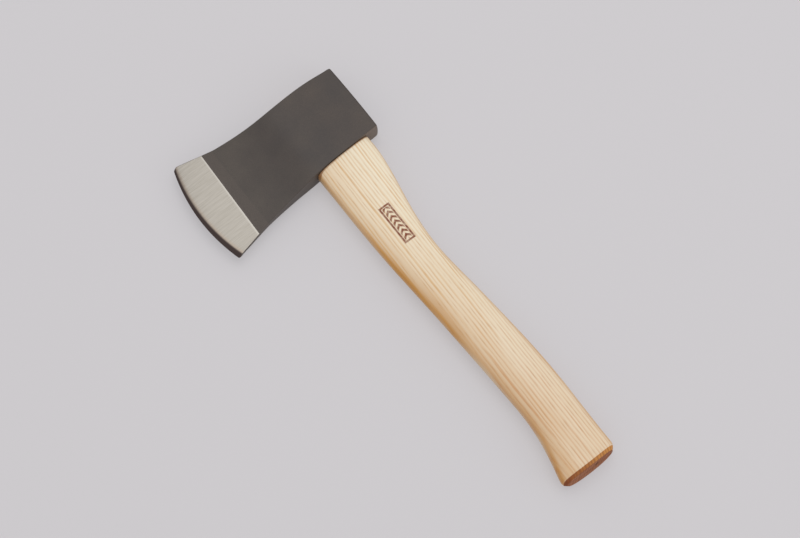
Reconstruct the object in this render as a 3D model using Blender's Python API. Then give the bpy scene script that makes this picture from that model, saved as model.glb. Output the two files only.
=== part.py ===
"""Hatchet: a forged steel head on a curved ash handle, held by one wooden and two steel wedges.

The hatchet lies on its side. +Z is up and Z = 0 is the surface it lies on. +Y runs along the handle
towards the top of the head, and +X runs from the cutting edge to the poll. The origin is under the
middle of the eye, on the lower cheek.
"""
import math

import bmesh
import bpy

MM = 0.001

# Head: setbacks are measured along X from the middle of the eye
HEAD_LENGTH = 150.5 * MM
HEAD_HEIGHT = 62.0 * MM
HEAD_THICKNESS = 23.0 * MM
CHEEK_EDGE_RADIUS = 1.2 * MM

# Poll: a slightly domed striking face with a flat middle
POLL_SETBACK = 37.4 * MM
POLL_TOP_DROP = 1.6 * MM
POLL_BOTTOM_RISE = 1.6 * MM
POLL_CROWN = 1.6 * MM
POLL_PAD_WIDTH = 8.0 * MM
POLL_ROUNDING = 1.2 * MM

# Upper edge over the eye: its highest point, and the slight dip before the poll
CROWN_SETBACK = 7.5 * MM
DIP_SETBACK = 28.0 * MM
DIP_DROP = 1.5 * MM

# Waist between cheek and blade, and the start of the blade
WAIST_SETBACK = 32.0 * MM
WAIST_TOP_DROP = 1.5 * MM
WAIST_BOTTOM_DROP = 2.6 * MM
CHEEK_SETBACK = 16.0 * MM
CHEEK_BOTTOM_DROP = 0.65 * MM
BLADE_SETBACK = 58.0 * MM
BLADE_TOP_DROP = 0.2 * MM
BLADE_BOTTOM_DROP = 5.8 * MM
BLADE_HOLLOW = 1.4

# Ground band behind the cutting edge
GROUND_WIDTH = 30.0 * MM
GROUND_SLANT = 2.0 * MM
GROUND_TOP_RISE = 4.0 * MM
GROUND_BOTTOM_DROP = 10.3 * MM
GROUND_THICKNESS = 5.0 * MM

# Cutting edge: a bowed edge with rounded toe and heel
TOE_RISE = 9.4 * MM
HEEL_DROP = 15.7 * MM
EDGE_BOW = 7.0 * MM
EDGE_SLANT = 1.6 * MM
EDGE_THICKNESS = 0.4 * MM
TOE_ROUNDING = 2.0 * MM
HEEL_ROUNDING = 0.5 * MM
BEVEL_WIDTH = 2.8 * MM
BEVEL_THICKNESS = 2.4 * MM

# Eye: an oval hole along Y that widens towards the top of the head
EYE_LENGTH_BOTTOM = 42.6 * MM
EYE_LENGTH_TOP = 45.0 * MM
EYE_WIDTH_BOTTOM = 15.4 * MM
EYE_WIDTH_TOP = 17.0 * MM
EYE_SQUARENESS = 2.4

# Handle: front and back edges are measured along X from the middle of the eye
HANDLE_LENGTH = 361.2 * MM
SHOULDER_FRONT = 22.9 * MM
SHOULDER_BACK = 26.2 * MM
SHOULDER_DEPTH = 19.6 * MM
SHOULDER_SWELL = 0.6 * MM
SHOULDER_SQUARENESS = 4.0
WAIST_FRONT = 21.4 * MM
WAIST_BACK = 15.8 * MM
WAIST_DEPTH = 19.8 * MM
GRIP_FRONT = 18.2 * MM
GRIP_BACK = 20.9 * MM
GRIP_DEPTH = 21.4 * MM
GRIP_SQUARENESS = 2.5
PALM_FRONT = 15.4 * MM
PALM_BACK = 24.8 * MM
PALM_DEPTH = 22.4 * MM
BUTT_FRONT = 25.4 * MM
BUTT_BACK = 24.0 * MM
BUTT_SQUARENESS = 3.2
BUTT_CHAMFER = 2.4 * MM
BUTT_ROUNDING = 4.0 * MM
BUTT_SLANT = math.tan(math.radians(8.0))
TONGUE_RECESS = 1.0 * MM

# Wedges, driven in from the top of the head
WOOD_WEDGE_END_GAP = 1.8 * MM
WOOD_WEDGE_DEPTH = 36.0 * MM
WOOD_WEDGE_THICKNESS = 3.6 * MM
WOOD_WEDGE_TIP = 1.0 * MM
STEEL_WEDGE_END_GAP = 2.2 * MM
STEEL_WEDGE_DEPTH = 22.0 * MM
STEEL_WEDGE_THICKNESS = 2.8 * MM
STEEL_WEDGE_TIP = 0.7 * MM
STEEL_WEDGE_SPACING = 21.0 * MM

# Gap between touching pieces, and how far cutters run past what they cut
CLEARANCE = 0.3 * MM
OVERCUT = 4.0 * MM

# Fineness of the curved shapes
OVAL_POINTS = 32
SIDE_STEPS = 14
CORNER_STEPS = 3
HEAD_STEPS = 18
GROUND_STEPS = 3
HANDLE_STEPS = 42
ROUNDING_STEPS = 3

MID_Z = HEAD_THICKNESS / 2
POLL_X = POLL_SETBACK
EDGE_X = POLL_SETBACK - HEAD_LENGTH
EDGE_END_X = EDGE_X + EDGE_BOW
GROUND_X = EDGE_X + GROUND_WIDTH
HEAD_TOP = HEAD_HEIGHT / 2
HEAD_BOTTOM = -HEAD_HEIGHT / 2
TONGUE_TOP = HEAD_TOP - WAIST_TOP_DROP - TONGUE_RECESS
BUTT_Y = HEAD_TOP - HANDLE_LENGTH
WOOD_WEDGE_LENGTH = min(EYE_LENGTH_BOTTOM, EYE_LENGTH_TOP) - 2 * WOOD_WEDGE_END_GAP
STEEL_WEDGE_WIDTH = min(EYE_WIDTH_BOTTOM, EYE_WIDTH_TOP) - 2 * STEEL_WEDGE_END_GAP


def clear_scene():
    for item in list(bpy.data.objects):
        bpy.data.objects.remove(item, do_unlink=True)


def material(name, colour, roughness, metallic):
    made = bpy.data.materials.new(name)
    made.use_nodes = True
    shader = made.node_tree.nodes["Principled BSDF"]
    shader.inputs["Base Color"].default_value = (*colour, 1.0)
    shader.inputs["Roughness"].default_value = roughness
    shader.inputs["Metallic"].default_value = metallic
    made.diffuse_color = (*colour, 1.0)
    return made


def mix(start, end, share):
    return start + (end - start) * share


def smooth_curve(points, at):
    """Height at one position of a smooth curve through (position, height) points, in rising order."""
    at = min(max(at, points[0][0]), points[-1][0])
    last = len(points) - 1
    i = 0
    while i < last - 1 and at > points[i + 1][0]:
        i += 1
    slopes = []
    for k in (i, i + 1):
        before = points[max(k - 1, 0)]
        after = points[min(k + 1, last)]
        slopes.append((after[1] - before[1]) / (after[0] - before[0]))
    span = points[i + 1][0] - points[i][0]
    t = (at - points[i][0]) / span
    leaving = points[i][1] * (2 * t**3 - 3 * t**2 + 1) + slopes[0] * span * (t**3 - 2 * t**2 + t)
    arriving = points[i + 1][1] * (3 * t**2 - 2 * t**3) + slopes[1] * span * (t**3 - t**2)
    return leaving + arriving


def skin(name, rings, finish=None):
    """A closed body through rings of equal point count, capped at both ends."""
    shape = bmesh.new()
    rows = [[shape.verts.new(point) for point in ring] for ring in rings]
    count = len(rings[0])
    for row, following in zip(rows, rows[1:]):
        for i in range(count):
            j = (i + 1) % count
            shape.faces.new((row[i], row[j], following[j], following[i]))
    shape.faces.new(list(reversed(rows[0])))
    shape.faces.new(rows[-1])
    bmesh.ops.recalc_face_normals(shape, faces=shape.faces)
    mesh = bpy.data.meshes.new(name)
    shape.to_mesh(mesh)
    shape.free()
    mesh.shade_smooth()
    mesh.set_sharp_from_angle(angle=math.radians(35))
    if finish:
        mesh.materials.append(finish)
    item = bpy.data.objects.new(name, mesh)
    bpy.context.collection.objects.link(item)
    return item


def cut(target, cutter):
    cutter.hide_render = True
    cutter.display_type = "WIRE"
    step = target.modifiers.new("Cut " + cutter.name, "BOOLEAN")
    step.operation = "DIFFERENCE"
    step.solver = "EXACT"
    step.object = cutter


def oval_ring(y, front, back, depth, squareness):
    """A flat-sided oval across Y, from X = front to X = back and depth thick along Z."""
    ring = []
    for i in range(OVAL_POINTS):
        angle = 2 * math.pi * i / OVAL_POINTS
        along = math.copysign(abs(math.cos(angle)) ** (2 / squareness), math.cos(angle))
        across = math.copysign(abs(math.sin(angle)) ** (2 / squareness), math.sin(angle))
        ring.append((mix(front, back, (1 + along) / 2), y, MID_Z + across * depth / 2))
    return ring


# Head: a forged and painted steel wedge with parallel cheeks around the eye

def top_outline(x):
    """Upper edge of the head as seen from the side."""
    points = (
        (EDGE_END_X, HEAD_TOP + TOE_RISE),
        (GROUND_X, HEAD_TOP + GROUND_TOP_RISE),
        (-BLADE_SETBACK, HEAD_TOP - BLADE_TOP_DROP),
        (-WAIST_SETBACK, HEAD_TOP - WAIST_TOP_DROP),
        (CROWN_SETBACK, HEAD_TOP),
        (DIP_SETBACK, HEAD_TOP - DIP_DROP),
        (POLL_X, HEAD_TOP - POLL_TOP_DROP),
    )
    return smooth_curve(points, x)


def bottom_outline(x):
    """Lower edge of the head as seen from the side, where the handle's shoulder meets it."""
    points = (
        (EDGE_END_X, HEAD_BOTTOM - HEEL_DROP),
        (GROUND_X, HEAD_BOTTOM - GROUND_BOTTOM_DROP),
        (-BLADE_SETBACK, HEAD_BOTTOM - BLADE_BOTTOM_DROP),
        (-WAIST_SETBACK, HEAD_BOTTOM - WAIST_BOTTOM_DROP),
        (-CHEEK_SETBACK, HEAD_BOTTOM - CHEEK_BOTTOM_DROP),
        (POLL_X, HEAD_BOTTOM + POLL_BOTTOM_RISE),
    )
    return smooth_curve(points, x)


def blade_thickness(x):
    """Thickness of the head: parallel cheeks beside the eye, then a hollow taper to the ground band."""
    eye_front = -EYE_LENGTH_TOP / 2
    taper = min(max((x - GROUND_X) / (eye_front - GROUND_X), 0.0), 1.0)
    return mix(GROUND_THICKNESS, HEAD_THICKNESS, taper**BLADE_HOLLOW)


def head_ring(low, high, bow, thickness):
    """A loop around the head between its low and high ends, each given as (x, y)."""
    half = thickness / 2
    radius = min(CHEEK_EDGE_RADIUS, 0.8 * half)
    first = low[1] + radius
    final = high[1] - radius
    section = []
    for corner in range(4):
        centre_y = final if corner in (1, 2) else first
        centre_z = half - radius if corner in (2, 3) else radius - half
        for step in range(CORNER_STEPS + 1):
            angle = math.pi + math.pi / 2 * (corner + step / CORNER_STEPS)
            section.append((centre_y + radius * math.cos(angle), centre_z + radius * math.sin(angle)))
        if corner == 0:
            section += [(mix(first, final, i / SIDE_STEPS), -half) for i in range(1, SIDE_STEPS)]
        if corner == 2:
            section += [(mix(final, first, i / SIDE_STEPS), half) for i in range(1, SIDE_STEPS)]
    ring = []
    for y, z in section:
        share = (y - low[1]) / (high[1] - low[1])
        x = mix(low[0], high[0], share) - bow * (1 - (2 * share - 1) ** 2)
        ring.append((x, y, MID_Z + z))
    return ring


def poll_rings():
    """The domed poll: a flat pad, the crown around it and rounded borders above and below."""
    rings = []
    for share in (0.0, 0.5, 1.0):
        x = POLL_X - POLL_CROWN * share**2
        inset = POLL_ROUNDING * (2 - share)
        thickness = mix(POLL_PAD_WIDTH, HEAD_THICKNESS - CHEEK_EDGE_RADIUS, share)
        rings.append((x, inset, thickness))
    for turn in (1 / 3, 2 / 3, 1.0):
        x = POLL_X - POLL_CROWN - POLL_ROUNDING * (1 - math.cos(turn * math.pi / 2))
        inset = POLL_ROUNDING * (1 - math.sin(turn * math.pi / 2))
        rings.append((x, inset, HEAD_THICKNESS))
    return [
        head_ring((x, bottom_outline(x) + inset), (x, top_outline(x) - inset), 0.0, thickness)
        for x, inset, thickness in rings
    ]


def blade_rings():
    """The ground band and the cutting bevel, bowing out more and more towards the edge."""
    rings = []
    slant_here = GROUND_SLANT / 2
    slant_edge = EDGE_SLANT / 2
    steps = [(i / GROUND_STEPS, 0.0) for i in range(1, GROUND_STEPS)]
    for share, inset in steps + [(1.0, BEVEL_WIDTH)]:
        middle = mix(GROUND_X, EDGE_END_X + inset, share)
        slant = mix(slant_here, slant_edge, share)
        thickness = mix(GROUND_THICKNESS, BEVEL_THICKNESS, share)
        low_x = middle - slant
        high_x = middle + slant
        low = (low_x, bottom_outline(low_x))
        high = (high_x, top_outline(high_x))
        rings.append(head_ring(low, high, EDGE_BOW * share, thickness))
    low_x = EDGE_END_X - slant_edge
    high_x = EDGE_END_X + slant_edge
    low = (low_x, bottom_outline(low_x) + HEEL_ROUNDING)
    high = (high_x, top_outline(high_x) - TOE_ROUNDING)
    rings.append(head_ring(low, high, EDGE_BOW, EDGE_THICKNESS))
    return rings


def build_head(finish):
    rings = poll_rings()
    start = POLL_X - POLL_CROWN - POLL_ROUNDING
    for i in range(1, HEAD_STEPS + 1):
        share = i / HEAD_STEPS
        x = mix(start, GROUND_X, share)
        slant = GROUND_SLANT / 2 * share**2
        low = (x - slant, bottom_outline(x - slant))
        high = (x + slant, top_outline(x + slant))
        rings.append(head_ring(low, high, 0.0, blade_thickness(x)))
    rings += blade_rings()
    head = skin("head", rings, finish)
    eye_bottom = HEAD_BOTTOM - WAIST_BOTTOM_DROP - OVERCUT
    eye_top = HEAD_TOP + OVERCUT
    eye = skin("eye_cutter", [eye_ring(eye_bottom, 0.0), eye_ring(eye_top, 0.0)])
    cut(head, eye)
    return head


# Eye: the head's hole and the handle's tongue share one shape, the tongue smaller by the clearance

def eye_ring(y, gap):
    share = (y - HEAD_BOTTOM) / HEAD_HEIGHT
    half_length = mix(EYE_LENGTH_BOTTOM, EYE_LENGTH_TOP, share) / 2 - gap
    width = mix(EYE_WIDTH_BOTTOM, EYE_WIDTH_TOP, share) - 2 * gap
    return oval_ring(y, -half_length, half_length, width, EYE_SQUARENESS)


# Handle: one piece of ash, a tongue in the eye, a curved grip and a flared butt with a chamfered end

def handle_ring(y, inset_x=0.0, inset_z=0.0):
    free_length = HEAD_BOTTOM - BUTT_Y
    share = (HEAD_BOTTOM - y) / free_length
    front = smooth_curve(
        (
            (0.0, SHOULDER_FRONT),
            (0.18, SHOULDER_FRONT),
            (0.34, WAIST_FRONT),
            (0.53, GRIP_FRONT),
            (0.78, PALM_FRONT),
            (0.85, mix(PALM_FRONT, BUTT_FRONT, 0.1)),
            (0.94, mix(PALM_FRONT, BUTT_FRONT, 0.6)),
            (1.0, BUTT_FRONT),
        ),
        share,
    )
    back = smooth_curve(
        (
            (0.0, SHOULDER_BACK),
            (0.03, SHOULDER_BACK + SHOULDER_SWELL),
            (0.085, SHOULDER_BACK - SHOULDER_SWELL),
            (0.17, mix(SHOULDER_BACK, WAIST_BACK, 0.54)),
            (0.26, mix(SHOULDER_BACK, WAIST_BACK, 0.92)),
            (0.33, WAIST_BACK),
            (0.53, GRIP_BACK),
            (0.75, PALM_BACK),
            (0.92, mix(PALM_BACK, BUTT_BACK, 1.3)),
            (1.0, BUTT_BACK),
        ),
        share,
    )
    depth = smooth_curve(
        (
            (0.0, SHOULDER_DEPTH),
            (0.34, WAIST_DEPTH),
            (0.53, GRIP_DEPTH),
            (0.78, PALM_DEPTH),
            (1.0, HEAD_THICKNESS),
        ),
        share,
    )
    squareness = smooth_curve(
        (
            (0.0, SHOULDER_SQUARENESS),
            (0.2, mix(SHOULDER_SQUARENESS, GRIP_SQUARENESS, 0.7)),
            (0.6, GRIP_SQUARENESS),
            (1.0, BUTT_SQUARENESS),
        ),
        share,
    )
    return oval_ring(y, inset_x - front, back - inset_x, depth - 2 * inset_z, squareness)


def slant(ring):
    """The ring tipped so that its upper side stands nearer the head."""
    return [(x, y + BUTT_SLANT * (z - MID_Z), z) for x, y, z in ring]


def seat(ring):
    """The ring laid along the lower edge of the head, one clearance below it."""
    return [(x, bottom_outline(x) - CLEARANCE, z) for x, _, z in ring]


def build_handle(finish):
    rings = [
        eye_ring(TONGUE_TOP, CLEARANCE),
        seat(eye_ring(HEAD_BOTTOM, CLEARANCE)),
        seat(handle_ring(HEAD_BOTTOM)),
    ]
    start = HEAD_BOTTOM - WAIST_BOTTOM_DROP - OVERCUT
    end = BUTT_Y + BUTT_ROUNDING
    for i in range(HANDLE_STEPS):
        rings.append(handle_ring(mix(start, end, i / HANDLE_STEPS)))
    for i in range(ROUNDING_STEPS + 1):
        turn = math.pi / 2 * i / ROUNDING_STEPS
        past_end = BUTT_ROUNDING * (1 - math.sin(turn))
        inset_x = BUTT_ROUNDING * (1 - math.cos(turn))
        inset_z = max(BUTT_CHAMFER - past_end, 0.0)
        rings.append(slant(handle_ring(BUTT_Y + past_end, inset_x, inset_z)))
    return skin("handle", rings, finish)


# Wedges: tapered blades, thick end flush with the top of the tongue

def wooden_wedge_shape(name, gap, past_top, extra_length, finish=None):
    """A blade along X, thick at the top; gap widens it all round and past_top lengthens it upward."""
    half_length = WOOD_WEDGE_LENGTH / 2 + gap + extra_length
    slope = (WOOD_WEDGE_THICKNESS - WOOD_WEDGE_TIP) / WOOD_WEDGE_DEPTH
    rings = []
    for y in (TONGUE_TOP - WOOD_WEDGE_DEPTH - gap, TONGUE_TOP + past_top):
        half = (WOOD_WEDGE_THICKNESS - slope * (TONGUE_TOP - y)) / 2 + gap
        rings.append([
            (-half_length, y, MID_Z - half),
            (half_length, y, MID_Z - half),
            (half_length, y, MID_Z + half),
            (-half_length, y, MID_Z + half),
        ])
    return skin(name, rings, finish)


def steel_wedge_shape(name, middle_x, gap, past_top, finish=None):
    """A blade along Z that crosses the wooden wedge."""
    half_width = STEEL_WEDGE_WIDTH / 2 + gap
    slope = (STEEL_WEDGE_THICKNESS - STEEL_WEDGE_TIP) / STEEL_WEDGE_DEPTH
    rings = []
    for y in (TONGUE_TOP - STEEL_WEDGE_DEPTH - gap, TONGUE_TOP + past_top):
        half = (STEEL_WEDGE_THICKNESS - slope * (TONGUE_TOP - y)) / 2 + gap
        rings.append([
            (middle_x - half, y, MID_Z - half_width),
            (middle_x + half, y, MID_Z - half_width),
            (middle_x + half, y, MID_Z + half_width),
            (middle_x - half, y, MID_Z + half_width),
        ])
    return skin(name, rings, finish)


clear_scene()

head_steel = material("painted_steel", (0.089, 0.074, 0.069), 0.5, 0.3)
ash = material("ash_wood", (0.78, 0.66, 0.48), 0.55, 0.0)
beech = material("beech_wedge", (0.62, 0.43, 0.27), 0.6, 0.0)
bare_steel = material("bare_steel", (0.45, 0.44, 0.42), 0.4, 1.0)

build_head(head_steel)
handle = build_handle(ash)
cut(handle, wooden_wedge_shape("kerf_cutter", CLEARANCE, OVERCUT, EYE_LENGTH_TOP))
wooden_wedge = wooden_wedge_shape("wooden_wedge", 0.0, 0.0, 0.0, beech)
for place, side in (("front", -1), ("rear", 1)):
    x = side * STEEL_WEDGE_SPACING / 2
    slot = steel_wedge_shape(place + "_slot_cutter", x, CLEARANCE, OVERCUT)
    cut(handle, slot)
    cut(wooden_wedge, slot)
    steel_wedge_shape("steel_wedge_" + place, x, 0.0, 0.0, bare_steel)
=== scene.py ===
"""Hatchet lying on its side: forged and lacquered head, ash handle, one wooden and two steel wedges."""

import math

import bmesh
import bpy
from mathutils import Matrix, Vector


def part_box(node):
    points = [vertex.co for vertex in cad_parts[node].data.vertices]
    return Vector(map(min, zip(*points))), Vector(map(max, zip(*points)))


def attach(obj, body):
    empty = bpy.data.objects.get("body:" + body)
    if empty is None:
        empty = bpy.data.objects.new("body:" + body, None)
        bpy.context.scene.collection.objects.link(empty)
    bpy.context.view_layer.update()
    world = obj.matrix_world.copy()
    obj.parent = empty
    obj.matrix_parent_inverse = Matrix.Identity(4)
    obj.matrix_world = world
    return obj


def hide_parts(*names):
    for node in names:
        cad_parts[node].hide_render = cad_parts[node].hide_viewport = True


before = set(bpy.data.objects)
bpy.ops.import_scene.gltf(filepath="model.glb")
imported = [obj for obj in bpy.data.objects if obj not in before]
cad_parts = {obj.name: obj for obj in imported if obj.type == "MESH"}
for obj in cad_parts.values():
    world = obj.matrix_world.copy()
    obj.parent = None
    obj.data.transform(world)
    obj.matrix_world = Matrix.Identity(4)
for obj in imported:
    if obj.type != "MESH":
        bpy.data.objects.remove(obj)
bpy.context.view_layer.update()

# ---------------------------------------------------------------------------------------------------
# Head
# One forging of tool steel: a domed poll, parallel cheeks around the eye and a thin flared blade. It is
# lacquered dark, then ground bright behind the edge, and the cutting bevel is polished last.
# ---------------------------------------------------------------------------------------------------

MM = 0.001
NEAR = 0.01 * MM
head_low, head_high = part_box("head")
thickness = head_high.z - head_low.z
middle_z = (head_low.z + head_high.z) / 2
half_height = 31.0 * MM

# Cross sections from poll to edge, in millimetres: place along the head, lower edge, upper edge,
# thickness, bow towards the edge, and how far the upper end leans towards the poll
sections = (
    (35.4, -28.9, 28.3, 22.5, -0.4, -0.2),
    (34.7, -29.6, 29.3, 23.0, -0.3, -0.1),
    (29.5, -29.8, 29.3, 23.0, 0.0, 0.0),
    (20.0, -30.1, 30.4, 23.0, 0.0, 0.0),
    (8.0, -30.6, 30.95, 23.0, 0.0, 0.0),
    (-4.0, -31.0, 30.65, 23.0, 0.0, 0.0),
    (-15.0, -31.8, 30.0, 23.0, 0.0, 0.0),
    (-23.0, -32.8, 29.55, 22.6, 0.0, 0.0),
    (-31.0, -33.7, 29.4, 19.9, 0.0, 0.0),
    (-40.0, -34.6, 29.5, 16.2, 0.0, 0.0),
    (-51.0, -36.0, 30.15, 12.4, 0.0, 0.0),
    (-62.0, -37.5, 31.2, 9.3, 0.0, 0.4),
    (-72.0, -39.1, 32.4, 7.0, 0.0, 0.7),
    (-74.5, -39.6, 32.8, 6.6, 0.0, 0.8),
    (-81.6, -41.2, 34.5, 5.35, 0.0, 1.0),
    (-83.1, -41.6, 34.8, 5.2, 0.0, 1.0),
    (-84.6, -41.9, 35.1, 5.05, 0.0, 1.0),
    (-91.0, -43.4, 36.8, 4.3, 3.0, 0.9),
    (-98.0, -44.9, 38.4, 3.5, 5.2, 0.9),
    (-102.0, -45.75, 39.4, 2.9, 6.6, 0.8),
    (-103.2, -46.3, 39.6, 2.5, 6.8, 0.8),
    (-106.1, -47.0, 38.4, 0.5, 7.0, 0.8),
)
GROUND_LINE = -83.1 * MM
# Lines along the head and layers through it, as shares of its half height and half thickness
rows = (-0.965, -0.75, -0.4, 0.0, 0.4, 0.75, 0.965)
layers = (-0.92, -0.35, 0.35, 0.92)
# How far the poll face is domed, in millimetres, at each layer
poll_dome = ((0.92, 0.55), (0.35, 1.3), (-0.35, 1.55), (-0.92, 1.2), (-1.0, 0.7))
RIM_FACING = 0.7
SMOOTH_ANGLE = math.radians(40)


def edit(thing):
    """Opens one object in edit mode with nothing selected."""
    bpy.ops.object.select_all(action="DESELECT")
    thing.select_set(True)
    bpy.context.view_layer.objects.active = thing
    bpy.ops.object.mode_set(mode="EDIT")
    bpy.ops.mesh.select_mode(type="VERT")
    bpy.ops.mesh.select_all(action="DESELECT")


def pick(thing, test):
    """Selects the points that pass a test on their index and place."""
    shape = bmesh.from_edit_mesh(thing.data)
    for face in shape.faces:
        face.select = False
    for edge in shape.edges:
        edge.select = False
    for point in shape.verts:
        point.select = bool(test(point))
    shape.select_flush_mode()
    bmesh.update_edit_mesh(thing.data)


def apply_modifiers(thing):
    """Makes the object the active one and applies its modifiers in order."""
    bpy.ops.object.select_all(action="DESELECT")
    thing.select_set(True)
    bpy.context.view_layer.objects.active = thing
    for step in list(thing.modifiers):
        bpy.ops.object.modifier_apply(modifier=step.name)


def round_over(thing):
    """Rounds a cage by three levels of subdivision."""
    smooth = thing.modifiers.new("Smooth", "SUBSURF")
    smooth.levels = 3
    smooth.render_levels = 3
    apply_modifiers(thing)


bpy.ops.object.select_all(action="DESELECT")
bpy.ops.mesh.primitive_cube_add(size=2, location=(0, 0, middle_z))
head = bpy.context.object
head.name = "head_forging"
head.scale = (1, half_height, thickness / 2)
bpy.ops.object.transform_apply(location=True, rotation=True, scale=True)
edit(head)
first_x = sections[0][0] * MM
last_x = sections[-1][0] * MM
pick(head, lambda point: point.co.x > 0)
bpy.ops.transform.translate(value=(first_x - 1, 0, 0))
pick(head, lambda point: point.co.x < -0.5)
bpy.ops.transform.translate(value=(last_x + 1, 0, 0))
for section in sections[1:-1]:
    bpy.ops.mesh.select_all(action="SELECT")
    bpy.ops.mesh.bisect(plane_co=(section[0] * MM, 0, 0), plane_no=(1, 0, 0))
for row in rows:
    bpy.ops.mesh.select_all(action="SELECT")
    bpy.ops.mesh.bisect(plane_co=(0, row * half_height, 0), plane_no=(0, 1, 0))
for layer in layers:
    bpy.ops.mesh.select_all(action="SELECT")
    bpy.ops.mesh.bisect(plane_co=(0, 0, middle_z + layer * thickness / 2), plane_no=(0, 0, 1))

shape = bmesh.from_edit_mesh(head.data)
place = {point.index: point.co.copy() for point in shape.verts}
for x, lower, upper, thick, bow, lean in sections:
    ring = {i for i, at in place.items() if abs(at.x - x * MM) < NEAR}
    pick(head, lambda point: point.index in ring)
    height = (upper - lower) / 2 * MM
    bpy.ops.transform.resize(
        value=(1, height / half_height, thick * MM / thickness), center_override=(x * MM, 0, middle_z)
    )
    bpy.ops.transform.translate(value=(0, (upper + lower) / 2 * MM, 0))
    if bow or lean:
        for row in (-1.0,) + rows + (1.0,):
            line = {i for i in ring if abs(place[i].y - row * half_height) < NEAR}
            pick(head, lambda point: point.index in line)
            bpy.ops.transform.translate(value=((lean * row - bow * (1 - row**2)) * MM, 0, 0))

# The poll face is domed across the cheeks, a little fuller towards the lower one
for layer, rise in poll_dome:
    crown = {
        i for i, at in place.items()
        if at.x > sections[1][0] * MM - NEAR
        and abs(at.z - middle_z - layer * thickness / 2) < NEAR
    }
    pick(head, lambda point: point.index in crown)
    bpy.ops.transform.translate(value=(rise * MM, 0, 0))

bpy.ops.object.mode_set(mode="OBJECT")
head.data.materials.append(None)
head.data.materials.append(None)
for face in head.data.polygons:
    on_rim = abs(face.normal.y) > RIM_FACING
    if max(place[i].x for i in face.vertices) < GROUND_LINE + NEAR and not on_rim:
        face.material_index = 1
round_over(head)

# The eye is drifted through the hot forging and opens towards the top of the head
OVAL_POINTS = 24
OVAL_MATCH = 0.02 * MM
EYE_SQUARENESS = 2.4
DRIFT_REACH = 42 * MM
# Half sizes of a block around the eye, and the width that is ground off its mouths
MOUTH_HALF_LENGTH = 24 * MM
MOUTH_HALF_DEPTH = 9.4 * MM
COUNTERSINK = 0.7 * MM


def oval_quarter(half_length, half_depth, squareness):
    """Points of a flat-sided oval from its end on X to its side on Z, measured from the middle."""
    quarter = []
    for i in range(OVAL_POINTS // 4 + 1):
        turn = 2 * math.pi * i / OVAL_POINTS
        quarter.append((
            half_length * abs(math.cos(turn)) ** (2 / squareness),
            half_depth * abs(math.sin(turn)) ** (2 / squareness),
        ))
    return quarter


def reshape_ring(thing, old, new):
    """Turns the selected ring from one (y, front, back, depth, squareness) into another."""
    shape = bmesh.from_edit_mesh(thing.data)
    ring = {point.index: point.co.copy() for point in shape.verts if point.select}
    old_middle = Vector(((old[1] + old[2]) / 2, old[0], middle_z))
    quarters = zip(
        oval_quarter((old[2] - old[1]) / 2, old[3] / 2, old[4]),
        oval_quarter((new[2] - new[1]) / 2, new[3] / 2, new[4]),
    )
    for before, after in quarters:
        group = {
            i for i, at in ring.items()
            if abs(abs(at.x - old_middle.x) - before[0]) < OVAL_MATCH
            and abs(abs(at.z - middle_z) - before[1]) < OVAL_MATCH
        }
        pick(thing, lambda point: point.index in group)
        stretch_x = after[0] / before[0] if before[0] > OVAL_MATCH else 1
        stretch_z = after[1] / before[1] if before[1] > OVAL_MATCH else 1
        bpy.ops.transform.resize(value=(stretch_x, 1, stretch_z), center_override=old_middle)
    pick(thing, lambda point: point.index in ring)
    shift = (new[1] + new[2] - old[1] - old[2]) / 2
    bpy.ops.transform.translate(value=(shift, new[0] - old[0], 0))


def start_oval(name, section):
    """A new object in edit mode that is one oval ring, with the ring selected."""
    bpy.ops.object.select_all(action="DESELECT")
    y, front, back, depth, squareness = section
    bpy.ops.mesh.primitive_circle_add(
        vertices=OVAL_POINTS, radius=1, location=(0, 0, 0), rotation=(math.pi / 2, 0, math.pi / 2)
    )
    thing = bpy.context.object
    thing.name = name
    bpy.ops.object.transform_apply(location=True, rotation=True, scale=True)
    bpy.ops.object.mode_set(mode="EDIT")
    bpy.ops.mesh.select_mode(type="VERT")
    bpy.ops.mesh.select_all(action="SELECT")
    bpy.ops.transform.rotate(value=math.pi / 2, orient_axis="Z", center_override=(0, 0, 0))
    bpy.ops.transform.resize(value=((back - front) / 2, 1, depth / 2), center_override=(0, 0, 0))
    bpy.ops.transform.translate(value=((back + front) / 2, y, middle_z))
    reshape_ring(thing, (y, front, back, depth, 2.0), section)
    return thing


def cut_away(target, cutter):
    """Cuts one solid from another and removes the cutter."""
    step = target.modifiers.new("Cut", "BOOLEAN")
    step.operation = "DIFFERENCE"
    step.solver = "EXACT"
    step.object = cutter
    apply_modifiers(target)
    bpy.data.objects.remove(cutter, do_unlink=True)


def eye_oval(y, half_length, depth):
    """A section of the eye, or of the tongue that fits it."""
    return y, -half_length, half_length, depth, EYE_SQUARENESS


eye_bottom = eye_oval(-DRIFT_REACH, 21.1 * MM, 15.15 * MM)
eye_top = eye_oval(DRIFT_REACH, 22.7 * MM, 17.3 * MM)
eye = start_oval("eye_drift", eye_bottom)
bpy.ops.mesh.edge_face_add()
bpy.ops.mesh.extrude_region_move(TRANSFORM_OT_translate={"value": (0, 0, 0)})
reshape_ring(eye, eye_bottom, eye_top)
bpy.ops.mesh.select_all(action="SELECT")
bpy.ops.mesh.normals_make_consistent(inside=False)
bpy.ops.object.mode_set(mode="OBJECT")
cut_away(head, eye)

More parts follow.
